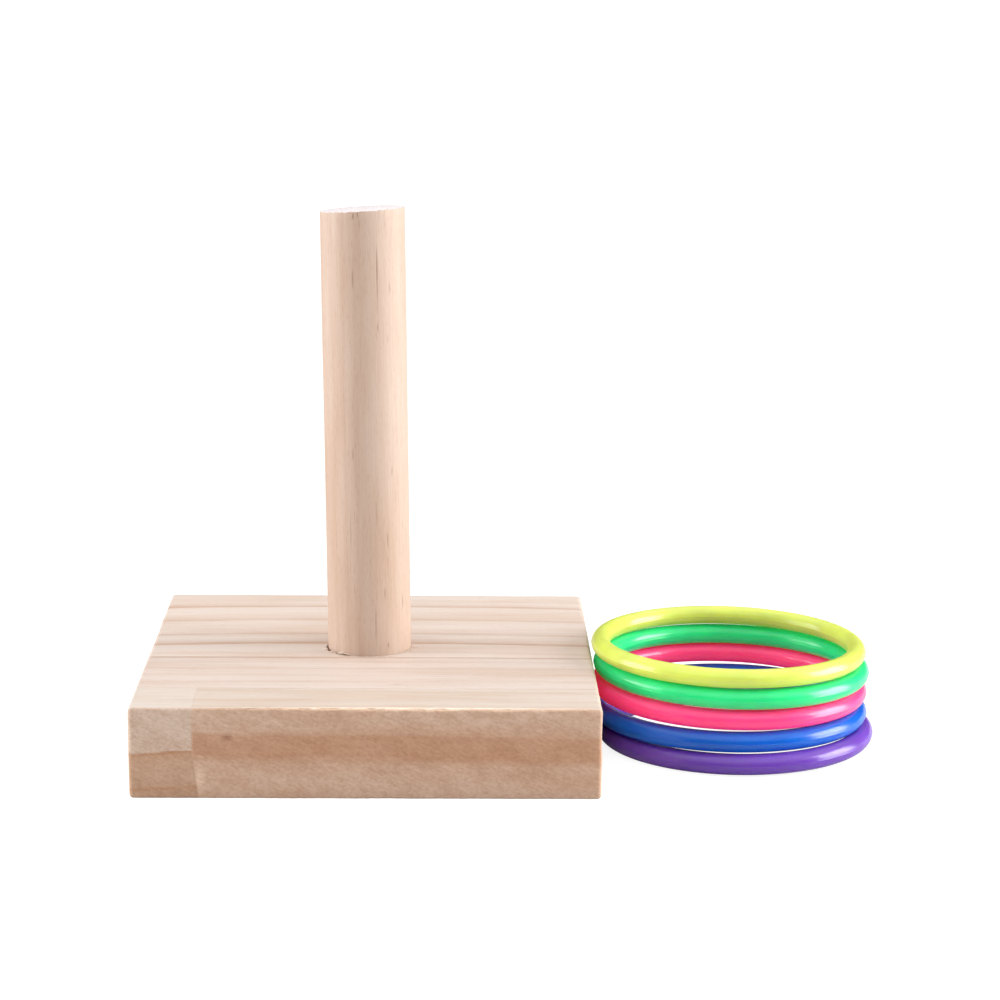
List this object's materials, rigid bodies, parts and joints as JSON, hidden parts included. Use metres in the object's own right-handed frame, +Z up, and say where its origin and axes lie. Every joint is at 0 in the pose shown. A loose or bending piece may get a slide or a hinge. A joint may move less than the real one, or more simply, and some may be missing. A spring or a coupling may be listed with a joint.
{
  "type": "ring toss set",
  "caption": "Tabletop ring toss set: square pine block glued up from staves, upright round wooden peg, and a pile of round plastic rings beside it.",
  "frame": {"origin": "centre of the square block's underside, where it rests on the table", "axes": "+Z up along the block's thickness, +X to the right towards the pile of rings, +Y to the back, so the face with the end joint in its stave looks along -Y"},
  "size_m": [0.1635, 0.1, 0.1194],
  "materials": {
    "pine": "sanded, unfinished",
    "peg_wood": "planed round, unfinished",
    "purple_plastic": "moulded, glossy",
    "blue_plastic": "moulded, glossy",
    "pink_plastic": "moulded, glossy",
    "green_plastic": "moulded, glossy",
    "yellow_plastic": "moulded, glossy"
  },
  "bodies": {
    "base": {"rear_stave": "pine", "middle_stave": "pine", "front_stave_long": "pine", "front_stave_short": "pine"},
    "peg": {"peg": "peg_wood"},
    "ring_purple": {"ring_purple": "purple_plastic"},
    "ring_blue": {"ring_blue": "blue_plastic"},
    "ring_pink": {"ring_pink": "pink_plastic"},
    "ring_green": {"ring_green": "green_plastic"},
    "ring_yellow": {"ring_yellow": "yellow_plastic"}
  },
  "joints": [
    {"name": "peg_pull", "type": "slide", "parent": "base", "child": "peg", "axis": [-0.0166, 0, 0.9999], "range_m": [0, 0.03]},
    {"name": "ring_purple_lift", "type": "slide", "parent": "base", "child": "ring_purple", "axis": [0, 0, 1], "range_m": [0, 0.13]},
    {"name": "ring_blue_lift", "type": "slide", "parent": "ring_purple", "child": "ring_blue", "axis": [0, 0, 1], "range_m": [0, 0.125]},
    {"name": "ring_pink_lift", "type": "slide", "parent": "ring_blue", "child": "ring_pink", "axis": [0, 0, 1], "range_m": [0, 0.12]},
    {"name": "ring_green_lift", "type": "slide", "parent": "ring_pink", "child": "ring_green", "axis": [0, 0, 1], "range_m": [0, 0.115]},
    {"name": "ring_yellow_lift", "type": "slide", "parent": "ring_green", "child": "ring_yellow", "axis": [0, 0, 1], "range_m": [0, 0.11]}
  ]
}
